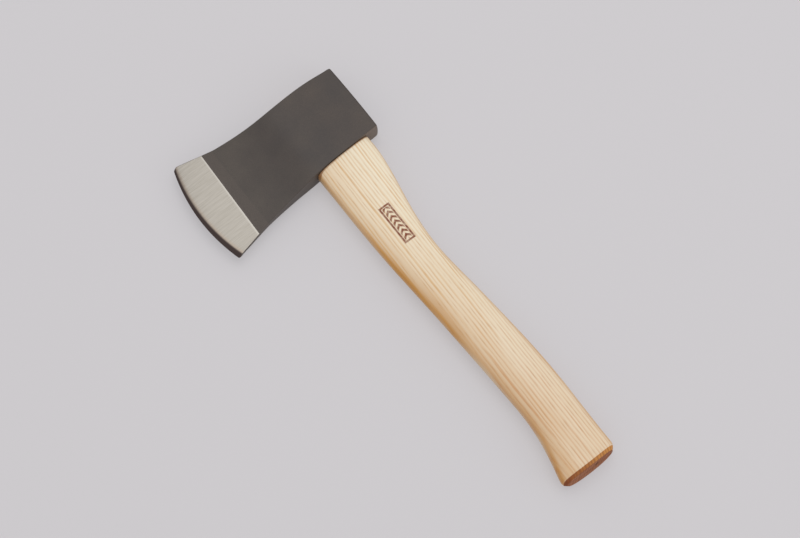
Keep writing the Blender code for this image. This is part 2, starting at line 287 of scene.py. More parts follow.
# Its mouths are countersunk by hand with a grinder, so no sharp arris cuts the handle
edit(head)
shape = bmesh.from_edit_mesh(head.data)
bpy.ops.mesh.select_mode(type="EDGE")
for edge in shape.edges:
    inside = all(
        abs(end.co.x) < MOUTH_HALF_LENGTH and abs(end.co.z - middle_z) < MOUTH_HALF_DEPTH
        for end in edge.verts
    )
    edge.select = inside and len(edge.link_faces) == 2 and edge.calc_face_angle() > math.radians(60)
bmesh.update_edit_mesh(head.data)
bpy.ops.mesh.bevel(offset=COUNTERSINK, segments=3, profile=0.5)
bpy.ops.object.mode_set(mode="OBJECT")
bpy.ops.object.shade_smooth_by_angle(angle=SMOOTH_ANGLE)


def srgb(code):
    """Linear colour of an sRGB hex code."""
    values = [int(code[i:i + 2], 16) / 255 for i in (1, 3, 5)]
    return tuple(v / 12.92 if v <= 0.04045 else ((v + 0.055) / 1.055) ** 2.4 for v in values) + (1.0,)


def node(tree, kind, inputs=None, **settings):
    """Adds a node with its settings, and its inputs as values or links."""
    made = tree.nodes.new("ShaderNode" + kind)
    for name, value in settings.items():
        setattr(made, name, value)
    for socket, value in (inputs or {}).items():
        if isinstance(value, bpy.types.NodeSocket):
            tree.links.new(value, made.inputs[socket])
        else:
            made.inputs[socket].default_value = value
    return made


def new_material(name):
    """A new material with its node tree and its shader."""
    made = bpy.data.materials.new(name)
    made.use_nodes = True
    return made, made.node_tree, made.node_tree.nodes["Principled BSDF"]


# Satin stoving lacquer on forged steel: a dark warm grey with a faint orange peel over the slight
# unevenness that the hammer left. Towards the blade it is painted lighter, as painted light that evens out
# the shade of the sloping flank, and the underside of the poll is painted lighter and browner, as painted
# light from below
lacquer, tree, shader = new_material("satin_dark_lacquer")
place_at = node(tree, "TexCoord").outputs["Object"]
# Hammer marks are about 35 mm across and the peel 1.5 mm, the finest that shows at this size
cloud = node(tree, "TexNoise", {"Vector": place_at, "Scale": 28.0, "Detail": 3.0})
grain = node(tree, "TexNoise", {"Vector": place_at, "Scale": 1500.0, "Detail": 2.0})
at = node(tree, "SeparateXYZ", {"Vector": place_at})
# Painted light: towards the blade the lacquer is painted lighter, to even out the shade of the sloping flank
painted_flank_light = node(tree, "MapRange", {"Value": at.outputs["X"], "From Min": 5 * MM, "From Max": -60 * MM})
patchy = node(tree, "MapRange", {"Value": cloud.outputs["Fac"], "From Min": 0.34, "From Max": 0.66})
tone = node(tree, "MixRGB", {"Fac": patchy.outputs["Result"], "Color1": srgb("#332b26"),
                             "Color2": srgb("#433931")})
painted_flank_light_tone = node(tree, "MixRGB", {"Fac": patchy.outputs["Result"], "Color1": srgb("#3a322c"),
                             "Color2": srgb("#473f37")})
tone = node(tree, "MixRGB", {"Fac": painted_flank_light.outputs["Result"], "Color1": tone.outputs["Color"],
                             "Color2": painted_flank_light_tone.outputs["Color"]})
# The lacquer between the crease where the blade's taper steepens and the ground steel is painted lighter
# from a sharp limit, a painted highlight for the way that band faces the light
painted_facet_light = node(tree, "MapRange", {"Value": at.outputs["X"], "From Min": -73.6 * MM, "From Max": -74.6 * MM,
                                "To Max": 0.45})
tone = node(tree, "MixRGB", {"Fac": painted_facet_light.outputs["Result"], "Color1": tone.outputs["Color"],
                             "Color2": srgb("#4d433b")})
speck = node(tree, "MapRange", {"Value": grain.outputs["Fac"], "From Min": 0.3, "From Max": 0.7,
                                "To Min": 0.84, "To Max": 1.16})
tone = node(tree, "MixRGB", {"Fac": 1.0, "Color1": tone.outputs["Color"], "Color2": speck.outputs["Result"]},
            blend_type="MULTIPLY")
# Painted light: faces turned down towards the butt are painted lighter and browner by the poll, fading out
# under the beard, where the handle shades it
facing = node(tree, "SeparateXYZ", {"Vector": node(tree, "NewGeometry").outputs["Normal"]})
painted_underside_light = node(tree, "MapRange", {"Value": facing.outputs["Y"], "From Min": -0.6, "From Max": -0.95})
by_poll = node(tree, "MapRange", {"Value": at.outputs["X"], "From Min": 10 * MM, "From Max": 25 * MM,
                                  "To Min": 0.12})
painted_underside_light = node(tree, "Math", {0: painted_underside_light.outputs["Result"], 1: by_poll.outputs["Result"]}, operation="MULTIPLY")
tone = node(tree, "MixRGB", {"Fac": painted_underside_light.outputs["Value"], "Color1": tone.outputs["Color"],
                             "Color2": srgb("#685a4e")})
tree.links.new(tone.outputs["Color"], shader.inputs["Base Color"])
gloss = node(tree, "MapRange", {"Value": cloud.outputs["Fac"], "To Min": 0.46, "To Max": 0.58})
tree.links.new(gloss.outputs["Result"], shader.inputs["Roughness"])
hammered = node(tree, "Bump", {"Strength": 0.3, "Distance": 0.0006, "Height": cloud.outputs["Fac"]})
peel = node(tree, "TexNoise", {"Vector": place_at, "Scale": 700.0, "Detail": 1.0})
peeled = node(tree, "Bump", {"Strength": 0.25, "Distance": 0.00006, "Height": peel.outputs["Fac"],
                             "Normal": hammered.outputs["Normal"]})
tree.links.new(peeled.outputs["Normal"], shader.inputs["Normal"])

# Bare steel ground across the edge on a belt: parallel scratches, bright and slightly warm, with a
# painted highlight along the lacquer where the run-out catches the light. The bevel at the edge is
# polished finer; its dark colour is a painted reflection of the dark side of the room. Belt scratches are
# 0.1 mm wide and are drawn 0.6 and 0.25 mm wide, because finer ones don't show
ground, tree, shader = new_material("belt_ground_steel")
shader.inputs["Metallic"].default_value = 1.0
place_at = node(tree, "TexCoord").outputs["Object"]
stretched = node(tree, "Mapping", {"Vector": place_at, "Scale": (26.0, 760.0, 26.0)})
scratches = node(tree, "TexNoise", {"Vector": stretched.outputs["Vector"], "Scale": 1.0, "Detail": 3.0,
                                    "Roughness": 0.6})
finer = node(tree, "Mapping", {"Vector": place_at, "Scale": (90.0, 2000.0, 90.0)})
hairs = node(tree, "TexNoise", {"Vector": finer.outputs["Vector"], "Scale": 1.0, "Detail": 2.0})
both = node(tree, "Math", {0: scratches.outputs["Fac"], 1: hairs.outputs["Fac"]}, operation="ADD")
streak = node(tree, "MapRange", {"Value": both.outputs["Value"], "From Min": 0.7, "From Max": 1.3})
bright = node(tree, "MixRGB", {"Fac": streak.outputs["Result"], "Color1": srgb("#8f8a81"),
                               "Color2": srgb("#aca79e")})
at = node(tree, "SeparateXYZ", {"Vector": place_at})
# The lacquer's limit leans 1 mm towards the poll for every 32 mm of height
limit = node(tree, "Math", {0: at.outputs["Y"], 1: 0.031, 2: GROUND_LINE}, operation="MULTIPLY_ADD")
inside = node(tree, "Math", {0: limit.outputs["Value"], 1: at.outputs["X"]}, operation="SUBTRACT")
# Painted highlight: a bright line along the lacquer's limit, where the run-out catches the light
painted_runout_highlight = node(tree, "MapRange", {"Value": inside.outputs["Value"], "From Min": 1.6 * MM, "From Max": 0.3 * MM,
                                 "To Max": 0.15}, interpolation_type="SMOOTHSTEP")
bright = node(tree, "MixRGB", {"Fac": painted_runout_highlight.outputs["Result"], "Color1": bright.outputs["Color"],
                               "Color2": srgb("#f4f1ea")})
# The edge is an arc, so its bevel starts a fixed distance inside that arc
edge_radius = 142.4 * MM
from_middle = node(tree, "VectorMath", {0: place_at, 1: (head_low.x + edge_radius, -2.9 * MM, middle_z)},
                   operation="SUBTRACT")
flat = node(tree, "VectorMath", {0: from_middle.outputs["Vector"], 1: (1.0, 1.0, 0.0)}, operation="MULTIPLY")
reach = node(tree, "VectorMath", {0: flat.outputs["Vector"]}, operation="LENGTH")
warm = node(tree, "MapRange", {"Value": reach.outputs["Value"], "From Min": edge_radius - 6.5 * MM,
                               "From Max": edge_radius - 3.6 * MM, "To Max": 0.5},
            interpolation_type="SMOOTHSTEP")
steel_tone = node(tree, "MixRGB", {"Fac": warm.outputs["Result"], "Color1": bright.outputs["Color"],
                                   "Color2": srgb("#a3917f")})
# Painted reflection: the bevel is painted dark for the dark side of the room that it mirrors
bevel = node(tree, "MapRange", {"Value": reach.outputs["Value"], "From Min": edge_radius - 4.2 * MM,
                                "From Max": edge_radius - 2.6 * MM}, interpolation_type="SMOOTHSTEP")
steel_tone = node(tree, "MixRGB", {"Fac": bevel.outputs["Result"], "Color1": steel_tone.outputs["Color"],
                                   "Color2": srgb("#4a403d")})
tree.links.new(steel_tone.outputs["Color"], shader.inputs["Base Color"])
rough = node(tree, "MapRange", {"Value": streak.outputs["Result"], "To Min": 0.38, "To Max": 0.5})
tree.links.new(rough.outputs["Result"], shader.inputs["Roughness"])
scored = node(tree, "Bump", {"Strength": 0.2, "Distance": 0.00004, "Height": both.outputs["Value"]})
tree.links.new(scored.outputs["Normal"], shader.inputs["Normal"])

head.data.materials[0] = lacquer
head.data.materials[1] = ground
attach(head, "root")
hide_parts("head")

# ---------------------------------------------------------------------------------------------------
# Handle
# One piece of ash, copy-turned and sanded: a tongue in the eye, a square shoulder under the head, an
# oval grip that swells towards the palm, and a flared butt sawn off with a sanded chamfer around it.
# ---------------------------------------------------------------------------------------------------


def head_underside(x):
    """Height of the head's lower edge at one place along it."""
    for near, far in zip(sections, sections[1:]):
        if far[0] * MM <= x <= near[0] * MM:
            share = (x - far[0] * MM) / ((near[0] - far[0]) * MM)
            return (far[1] + (near[1] - far[1]) * share) * MM
    return sections[0][1] * MM


# Sections from the shoulder to the butt, in millimetres: place along the handle, front and back edge,
# depth and squareness
grip = (
    (-33.6, -22.9, 26.3, 19.7, 4.4),
    (-36.0, -22.95, 26.6, 19.7, 4.1),
    (-42.0, -23.0, 26.7, 19.6, 3.8),
    (-52.0, -23.0, 26.0, 19.6, 3.4),
    (-64.0, -23.0, 24.3, 19.6, 3.1),
    (-78.0, -23.0, 21.7, 19.6, 2.9),
    (-92.0, -22.9, 19.0, 19.6, 2.75),
    (-107.0, -22.6, 16.9, 19.7, 2.65),
    (-122.0, -22.0, 15.85, 19.8, 2.55),
    (-137.0, -21.1, 15.85, 20.0, 2.5),
    (-152.0, -20.25, 17.2, 20.3, 2.5),
    (-168.0, -19.3, 18.9, 20.8, 2.5),
    (-186.0, -18.35, 20.5, 21.3, 2.5),
    (-206.0, -17.5, 22.1, 21.7, 2.5),
    (-226.0, -16.6, 23.6, 22.0, 2.5),
    (-246.0, -15.9, 24.5, 22.2, 2.55),
    (-262.0, -15.3, 24.7, 22.4, 2.6),
    (-274.0, -15.3, 24.5, 22.5, 2.7),
    (-284.0, -16.0, 24.2, 22.6, 2.8),
    (-294.0, -17.3, 24.0, 22.7, 2.9),
    (-304.0, -19.2, 23.75, 22.8, 3.0),
    (-314.0, -21.5, 23.6, 22.9, 3.1),
    (-322.0, -23.6, 23.7, 22.9, 3.2),
)
shaft_end = (-325.4, -24.3, 23.7, 22.95, 3.1)
butt = (
    (-327.9, -23.6, 22.9, 23.0, 2.9),
    (-330.2, -21.3, 20.6, 18.6, 2.6),
)
BUTT_TURN = math.radians(8)
SAWN_LINE = -327 * MM
BUTT_PIVOT = -329 * MM
# The sawn end curves back by this much at this distance from the middle
BUTT_CROWN = 0.8 * MM
BUTT_HALF_WIDTH = 21 * MM
SAME_COLUMN = 0.002 * MM
SEAT_GAP = 0.25 * MM
SHOULDER_LINE = -34.5 * MM
SAWN_FACING = 0.6


def in_metres(section):
    """A section of the handle with its sizes in metres."""
    return tuple(value * MM for value in section[:4]) + section[4:]


def grow(thing, old, new):
    """Extrudes the selected ring or face into the next section."""
    bpy.ops.mesh.extrude_region_move(TRANSFORM_OT_translate={"value": (0, 0, 0)})
    reshape_ring(thing, old, new)


def columns_of(thing, test):
    """The places along X at which the chosen points stand."""
    shape = bmesh.from_edit_mesh(thing.data)
    return sorted({round(point.co.x, 6) for point in shape.verts if test(point)})


handle = start_oval("ash_handle", in_metres(grip[0]))
before = in_metres(grip[0])
for section in grip[1:] + (shaft_end,):
    grow(handle, before, in_metres(section))
    before = in_metres(section)

# The sawn end: a sanded chamfer with crisp borders around a face that is a little off square
for section in butt:
    grow(handle, before, in_metres(section))
    bpy.ops.transform.edge_crease(value=0.65)
    before = in_metres(section)
bpy.ops.mesh.edge_face_add()
for margin in (2.5 * MM, 3.5 * MM):
    bpy.ops.mesh.inset(thickness=margin, depth=0)

shape = bmesh.from_edit_mesh(handle.data)
sawn_off = {point.index for point in shape.verts if point.co.y < SAWN_LINE}
for column in columns_of(handle, lambda point: point.index in sawn_off):
    fall = BUTT_CROWN * (column / BUTT_HALF_WIDTH) ** 2
    pick(handle, lambda point: point.index in sawn_off and abs(point.co.x - column) < SAME_COLUMN)
    bpy.ops.transform.translate(value=(0, fall, 0))
pick(handle, lambda point: point.index in sawn_off)
bpy.ops.transform.rotate(value=BUTT_TURN, orient_axis="X", center_override=(0, BUTT_PIVOT, middle_z))

# The shoulder fits up to the head and the tongue rises from it through the eye
shoulder = in_metres(grip[0])
tongue_root = eye_oval(shoulder[0], 20.7 * MM, 14.6 * MM)
tongue_low = eye_oval(-26 * MM, 21.0 * MM, 15.0 * MM)
tongue_high = eye_oval(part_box("wooden_wedge")[1].y, 22.0 * MM, 16.2 * MM)


def at_shoulder(point):
    """Whether a point is on the ring of the shoulder."""
    return abs(point.co.y - shoulder[0]) < NEAR


pick(handle, at_shoulder)
bpy.ops.transform.edge_crease(value=0.7)
grow(handle, shoulder, tongue_root)
grow(handle, tongue_root, tongue_low)
grow(handle, tongue_low, tongue_high)
bpy.ops.mesh.edge_face_add()
bpy.ops.mesh.inset(thickness=0.8 * MM, depth=0)
bpy.ops.mesh.select_all(action="SELECT")
bpy.ops.mesh.normals_make_consistent(inside=False)

for column in columns_of(handle, at_shoulder):
    pick(handle, lambda point: at_shoulder(point) and abs(point.co.x - column) < SAME_COLUMN)
    bpy.ops.transform.translate(value=(0, head_underside(column) - SEAT_GAP - shoulder[0], 0))
bpy.ops.object.mode_set(mode="OBJECT")

# Sawn faces, across the grain, are finished differently from the turned sides
handle.data.materials.append(None)
handle.data.materials.append(None)
for face in handle.data.polygons:
    at_end = all(i in sawn_off for i in face.vertices)
    at_top = face.center.y > SHOULDER_LINE and abs(face.normal.y) > SAWN_FACING
    if at_end or at_top:
        face.material_index = 1
round_over(handle)


# The tongue is sawn down the middle and slotted by the wedges that spread it
def wedge_block(name, low, high, tip, past=0.0):
    """A block that narrows downwards to the thickness of its tip, past is how far it runs on above."""
    size = high - low
    middle = (low + high) / 2
    bpy.ops.object.select_all(action="DESELECT")
    bpy.ops.mesh.primitive_cube_add(size=1, location=middle)
    block = bpy.context.object
    block.name = name
    block.scale = size
    bpy.ops.object.transform_apply(location=True, rotation=True, scale=True)
    edit(block)
    pick(block, lambda point: point.co.y < middle.y)
    narrow = (tip / size.x, 1, 1) if size.x < size.z else (1, 1, tip / size.z)
    bpy.ops.transform.resize(value=narrow, center_override=middle)
    if past:
        pick(block, lambda point: point.co.y > middle.y)
        bpy.ops.mesh.extrude_region_move(TRANSFORM_OT_translate={"value": (0, past, 0)})
    bpy.ops.object.mode_set(mode="OBJECT")
    return block


WEDGE_TIP = 1.0 * MM
STEEL_TIP = 0.7 * MM
# The kerf runs right through the tongue, and the cuts run on above it
KERF_HALF_LENGTH = 30 * MM
RUN_ON = 5 * MM
slot_gap = Vector((0.12, 0.3, 0.12)) * MM
kerf_low, kerf_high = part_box("wooden_wedge")
kerf_low = kerf_low - slot_gap
kerf_high = kerf_high + slot_gap
kerf_low.x = -KERF_HALF_LENGTH
kerf_high.x = KERF_HALF_LENGTH
cut_away(handle, wedge_block("kerf", kerf_low, kerf_high, WEDGE_TIP + 2 * slot_gap.z, past=RUN_ON))


def steel_slot(name):
    """The slot that one steel wedge makes, a little larger than the wedge."""
    low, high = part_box(name)
    low = low - slot_gap
    high = high + slot_gap
    return wedge_block(name + "_slot", low, high, STEEL_TIP + 2 * slot_gap.x, past=RUN_ON)


steel_wedges = ("steel_wedge_front", "steel_wedge_rear")
for name in steel_wedges:
    cut_away(handle, steel_slot(name))
bpy.ops.object.shade_smooth_by_angle(angle=SMOOTH_ANGLE)


RING_WIDTH = 2.6 * MM


def growth_rings(tree, place_at):
    """Nodes for the year rings of ash: the ring count, and early wood as 1 against late wood as 0."""
    # The pith lay about 120 mm behind the handle and leaned a little against it
    around = node(tree, "Mapping", {"Vector": place_at, "Location": (-0.12, 0.0, 0.01),
                                    "Rotation": (0.006, 0.0, 0.012)})
    slow = node(tree, "Mapping", {"Vector": place_at, "Scale": (60.0, 9.0, 60.0)})
    sway = node(tree, "TexNoise", {"Vector": slow.outputs["Vector"], "Scale": 1.0, "Detail": 2.0})
    across = node(tree, "VectorMath", {0: around.outputs["Vector"], 1: (1.0, 0.0, 1.0)}, operation="MULTIPLY")
    radius = node(tree, "VectorMath", {0: across.outputs["Vector"]}, operation="LENGTH")
    swayed = node(tree, "Math", {0: sway.outputs["Fac"], 1: 2.2 * MM, 2: radius.outputs["Value"]},
                  operation="MULTIPLY_ADD")
    quick = node(tree, "Mapping", {"Vector": place_at, "Scale": (140.0, 38.0, 140.0)})
    ripple = node(tree, "TexNoise", {"Vector": quick.outputs["Vector"], "Scale": 1.0, "Detail": 2.0})
    swayed = node(tree, "Math", {0: ripple.outputs["Fac"], 1: 0.9 * MM, 2: swayed.outputs["Value"]},
                  operation="MULTIPLY_ADD")
    seasons = node(tree, "TexNoise", {"W": swayed.outputs["Value"], "Scale": 190.0, "Detail": 1.0},
                   noise_dimensions="1D")
    uneven = node(tree, "Math", {0: seasons.outputs["Fac"], 1: 2.4 * MM, 2: swayed.outputs["Value"]},
                  operation="MULTIPLY_ADD")
    count = node(tree, "Math", {0: uneven.outputs["Value"], 1: RING_WIDTH}, operation="DIVIDE")
    part = node(tree, "Math", {0: count.outputs["Value"]}, operation="FRACT")
    rise = node(tree, "MapRange", {"Value": part.outputs["Value"], "From Min": 0.2, "From Max": 0.7},
                interpolation_type="SMOOTHSTEP")
    fall = node(tree, "MapRange", {"Value": part.outputs["Value"], "From Min": 1.0, "From Max": 0.74},
                interpolation_type="SMOOTHSTEP")
    early = node(tree, "Math", {0: rise.outputs["Result"], 1: fall.outputs["Result"]}, operation="MULTIPLY")
    return count.outputs["Value"], early.outputs["Value"]


# Sanded ash under thin oil: pale cream late wood, orange-brown early wood whose open pores show as short
# dark dashes along the grain, and browner wood towards the front and the butt. On the faces turned to the
# front the browning is partly the wood's own and partly painted shade of the side away from the light.
# The pores are 0.2 mm wide and are drawn about 0.35 mm wide, because finer ones don't show
ash, tree, shader = new_material("sanded_ash")
place_at = node(tree, "TexCoord").outputs["Object"]
at = node(tree, "SeparateXYZ", {"Vector": place_at})
count, early = growth_rings(tree, place_at)
year = node(tree, "Math", {0: count}, operation="FLOOR")
year_tone = node(tree, "TexWhiteNoise", {"W": year.outputs["Value"]}, noise_dimensions="1D")
strength = node(tree, "MapRange", {"Value": year_tone.outputs["Value"], "To Min": 0.25, "To Max": 0.56})
long_grain = node(tree, "Mapping", {"Vector": place_at, "Scale": (260.0, 24.0, 260.0)})
breaks = node(tree, "TexNoise", {"Vector": long_grain.outputs["Vector"], "Scale": 1.0, "Detail": 3.0})
broken = node(tree, "MapRange", {"Value": breaks.outputs["Fac"], "From Min": 0.37, "From Max": 0.6,
                                 "To Min": 0.35, "To Max": 1.0})
line = node(tree, "Math", {0: early, 1: strength.outputs["Result"]}, operation="MULTIPLY")
line = node(tree, "Math", {0: line.outputs["Value"], 1: broken.outputs["Result"]}, operation="MULTIPLY")
cells = node(tree, "Mapping", {"Vector": place_at, "Scale": (1500.0, 110.0, 1500.0)})
vessels = node(tree, "TexNoise", {"Vector": cells.outputs["Vector"], "Scale": 1.0, "Detail": 2.0})
pore = node(tree, "MapRange", {"Value": vessels.outputs["Fac"], "From Min": 0.5, "From Max": 0.68})
pore = node(tree, "Math", {0: pore.outputs["Result"], 1: early}, operation="MULTIPLY")
strands = node(tree, "Mapping", {"Vector": place_at, "Scale": (800.0, 22.0, 800.0)})
fibre = node(tree, "TexNoise", {"Vector": strands.outputs["Vector"], "Scale": 1.0, "Detail": 3.0})
broad = node(tree, "Mapping", {"Vector": place_at, "Scale": (45.0, 8.0, 45.0)})
drift = node(tree, "TexNoise", {"Vector": broad.outputs["Vector"], "Scale": 1.0, "Detail": 1.0})
pale = node(tree, "MixRGB", {"Fac": fibre.outputs["Fac"], "Color1": srgb("#ede2cb"),
                             "Color2": srgb("#e4d7ba")})
to_butt = node(tree, "MapRange", {"Value": at.outputs["Y"], "From Min": -150 * MM, "From Max": -260 * MM},
               interpolation_type="SMOOTHSTEP")
facing = node(tree, "SeparateXYZ", {"Vector": node(tree, "NewGeometry").outputs["Normal"]})
# Faces turned to the front are painted browner: partly the browner wood of that face, partly painted shade of
# the side away from the light
to_front = node(tree, "MapRange", {"Value": facing.outputs["X"], "From Min": -0.15, "From Max": -0.85},
                interpolation_type="SMOOTHSTEP")
# Across the handle the wood darkens from back to front, more so in the palm than at the shoulder
across = node(tree, "MapRange", {"Value": at.outputs["X"], "From Min": 16 * MM, "From Max": -14 * MM})
across = node(tree, "Math", {0: across.outputs["Result"], 1: across.outputs["Result"]}, operation="MULTIPLY")
to_palm = node(tree, "MapRange", {"Value": at.outputs["Y"], "From Min": -100 * MM, "From Max": -230 * MM,
                                  "To Min": 0.42, "To Max": 0.85}, interpolation_type="SMOOTHSTEP")
past_palm = node(tree, "MapRange", {"Value": at.outputs["Y"], "From Min": -250 * MM, "From Max": -300 * MM,
                                    "To Min": 1.0, "To Max": 0.6})
across = node(tree, "Math", {0: across.outputs["Value"], 1: to_palm.outputs["Result"]}, operation="MULTIPLY")
across = node(tree, "Math", {0: across.outputs["Value"], 1: past_palm.outputs["Result"]},
              operation="MULTIPLY")
along = node(tree, "MapRange", {"Value": at.outputs["Y"], "From Min": -80 * MM, "From Max": -290 * MM,
                                "To Max": 0.3})
to_back = node(tree, "MapRange", {"Value": facing.outputs["X"], "From Min": 0.5, "From Max": 0.95,
                                  "To Max": 0.5}, interpolation_type="SMOOTHSTEP")
heart = node(tree, "Math", {0: to_front.outputs["Result"], 1: to_back.outputs["Result"]}, operation="MAXIMUM")
heart = node(tree, "Math", {0: heart.outputs["Value"], 1: across.outputs["Value"]}, operation="MAXIMUM")
heart = node(tree, "Math", {0: heart.outputs["Value"], 1: along.outputs["Result"]}, operation="ADD")
browning = node(tree, "MapRange", {"Value": drift.outputs["Fac"], "From Min": 0.3, "From Max": 0.7,
                                   "To Min": 0.4, "To Max": 1.0})
heart = node(tree, "Math", {0: heart.outputs["Value"], 1: browning.outputs["Result"]}, operation="MULTIPLY")
pale = node(tree, "MixRGB", {"Fac": heart.outputs["Value"], "Color1": pale.outputs["Color"],
                             "Color2": srgb("#c08a45")})
line_tone = node(tree, "MixRGB", {"Fac": to_butt.outputs["Result"], "Color1": srgb("#cb9236"),
                                  "Color2": srgb("#bd7628")})
wood = node(tree, "MixRGB", {"Fac": line.outputs["Value"], "Color1": pale.outputs["Color"],
                             "Color2": line_tone.outputs["Color"]})
pore_tone = node(tree, "Math", {0: pore.outputs["Value"], 1: 0.25}, operation="MULTIPLY")
wood = node(tree, "MixRGB", {"Fac": pore_tone.outputs["Value"], "Color1": wood.outputs["Color"],
                             "Color2": srgb("#a0672f")})
# Painted shade under the head: the wood just below the head's lower edge is painted dark brown, in a
# shallow curve that follows that edge, and reaches further down on the faces turned to the front
bent = node(tree, "Math", {0: at.outputs["X"], 1: -1.1, 2: 0.0595}, operation="MULTIPLY_ADD")
edge_line = node(tree, "Math", {0: bent.outputs["Value"], 1: at.outputs["X"], 2: -31.1 * MM},
                 operation="MULTIPLY_ADD")
below = node(tree, "Math", {0: edge_line.outputs["Value"], 1: at.outputs["Y"]}, operation="SUBTRACT")
below = node(tree, "Math", {0: to_front.outputs["Result"], 1: -2.0 * MM, 2: below.outputs["Value"]},
             operation="MULTIPLY_ADD")
shoulder_painted_shade = node(tree, "MapRange", {"Value": below.outputs["Value"], "From Min": 1.5 * MM,
                                    "From Max": 0.4 * MM}, interpolation_type="SMOOTHSTEP")
shoulder_painted_shade = node(tree, "Math", {0: shoulder_painted_shade.outputs["Result"], 1: browning.outputs["Result"]},
                 operation="MULTIPLY")
wood = node(tree, "MixRGB", {"Fac": shoulder_painted_shade.outputs["Value"], "Color1": wood.outputs["Color"],
                             "Color2": srgb("#86501f")})

# Burnt into the upper side: a row of chevrons in a plain border, 33 mm long and 9 mm wide
along = node(tree, "Math", {0: at.outputs["Y"], 1: 99.3 * MM}, operation="ADD")
aside = node(tree, "Math", {0: at.outputs["X"], 1: 0.95 * MM}, operation="SUBTRACT")
aside = node(tree, "Math", {0: aside.outputs["Value"]}, operation="ABSOLUTE")
slant = node(tree, "Math", {0: aside.outputs["Value"], 1: 0.9, 2: along.outputs["Value"]},
             operation="MULTIPLY_ADD")
repeat = node(tree, "Math", {0: slant.outputs["Value"], 1: 4.4 * MM}, operation="DIVIDE")
repeat = node(tree, "Math", {0: repeat.outputs["Value"]}, operation="FRACT")
repeat = node(tree, "Math", {0: repeat.outputs["Value"], 1: 0.5}, operation="SUBTRACT")
repeat = node(tree, "Math", {0: repeat.outputs["Value"]}, operation="ABSOLUTE")
chevron = node(tree, "MapRange", {"Value": repeat.outputs["Value"], "From Min": 0.32, "From Max": 0.2},
               interpolation_type="SMOOTHSTEP")
length = node(tree, "Math", {0: along.outputs["Value"]}, operation="ABSOLUTE")
past_side = node(tree, "Math", {0: aside.outputs["Value"], 1: 4.1 * MM}, operation="SUBTRACT")
past_end = node(tree, "Math", {0: length.outputs["Value"], 1: 16.0 * MM}, operation="SUBTRACT")
past_border = node(tree, "Math", {0: past_side.outputs["Value"], 1: past_end.outputs["Value"]},
                   operation="MAXIMUM")
within = node(tree, "MapRange", {"Value": past_border.outputs["Value"], "From Min": -1.0 * MM,
                                 "From Max": -1.4 * MM})
chevron = node(tree, "Math", {0: chevron.outputs["Result"], 1: within.outputs["Result"]},
               operation="MULTIPLY")
off_line = node(tree, "Math", {0: past_border.outputs["Value"]}, operation="ABSOLUTE")
border = node(tree, "MapRange", {"Value": off_line.outputs["Value"], "From Min": 1.0 * MM,
                                 "From Max": 0.5 * MM}, interpolation_type="SMOOTHSTEP")
brand = node(tree, "Math", {0: chevron.outputs["Value"], 1: border.outputs["Result"]}, operation="MAXIMUM")
top_side = node(tree, "MapRange", {"Value": at.outputs["Z"], "From Min": 15 * MM, "From Max": 16 * MM})
brand = node(tree, "Math", {0: brand.outputs["Value"], 1: top_side.outputs["Result"]}, operation="MULTIPLY")
scorch = node(tree, "TexNoise", {"Vector": place_at, "Scale": 420.0, "Detail": 3.0})
heat = node(tree, "MapRange", {"Value": scorch.outputs["Fac"], "From Min": 0.3, "From Max": 0.62,
                               "To Min": 0.6, "To Max": 1.0})
brand = node(tree, "Math", {0: brand.outputs["Value"], 1: heat.outputs["Result"]}, operation="MULTIPLY")
wood = node(tree, "MixRGB", {"Fac": brand.outputs["Value"], "Color1": wood.outputs["Color"],
                             "Color2": srgb("#7a3812")})
tree.links.new(wood.outputs["Color"], shader.inputs["Base Color"])
sheen = node(tree, "MapRange", {"Value": line.outputs["Value"], "To Min": 0.44, "To Max": 0.62})
tree.links.new(sheen.outputs["Result"], shader.inputs["Roughness"])
shader.inputs["Specular IOR Level"].default_value = 0.3
sunk = node(tree, "Math", {0: brand.outputs["Value"], 1: 2.0, 2: pore.outputs["Value"]},
            operation="MULTIPLY_ADD")
relief = node(tree, "Bump", {"Strength": 0.35, "Distance": 0.0001, "Height": sunk.outputs["Value"]},
              invert=True)
tree.links.new(relief.outputs["Normal"], shader.inputs["Normal"])

# Sawn across the grain: the open fibre ends drink the oil, so the wood turns brown, orange where the
# sanding disc broke the edge. That chamfer is painted lighter towards the back, as painted light from the
# side the light comes from. The year rings show as short lines through its thickness
end_grain, tree, shader = new_material("sawn_ash_end")
place_at = node(tree, "TexCoord").outputs["Object"]
early = growth_rings(tree, place_at)[1]
facing = node(tree, "SeparateXYZ", {"Vector": node(tree, "NewGeometry").outputs["Normal"]})
square_on = node(tree, "Math", {0: facing.outputs["Y"]}, operation="ABSOLUTE")
flat_end = node(tree, "MapRange", {"Value": square_on.outputs["Value"], "From Min": 0.82, "From Max": 0.96})
soaked = node(tree, "TexNoise", {"Vector": place_at, "Scale": 130.0, "Detail": 3.0})
at = node(tree, "SeparateXYZ", {"Vector": place_at})
# Painted light: the chamfer gets lighter towards the back, the side the light comes from
to_back = node(tree, "MapRange", {"Value": at.outputs["X"], "From Min": -22 * MM, "From Max": 22 * MM})
patchy = node(tree, "Math", {0: soaked.outputs["Fac"], 1: 0.5, 2: to_back.outputs["Result"]},
              operation="MULTIPLY_ADD")
patchy = node(tree, "Math", {0: patchy.outputs["Value"], 1: 0.25}, operation="SUBTRACT", use_clamp=True)
edge_tone = node(tree, "MixRGB", {"Fac": patchy.outputs["Value"], "Color1": srgb("#86492b"),
                                  "Color2": srgb("#cf9352")})
end_tone = node(tree, "MixRGB", {"Fac": soaked.outputs["Fac"], "Color1": srgb("#966147"),
                                 "Color2": srgb("#b37c5c")})
stripes = node(tree, "Mapping", {"Vector": place_at, "Scale": (40.0, 60.0, 620.0)})
saw_marks = node(tree, "TexNoise", {"Vector": stripes.outputs["Vector"], "Scale": 1.0, "Detail": 2.0})
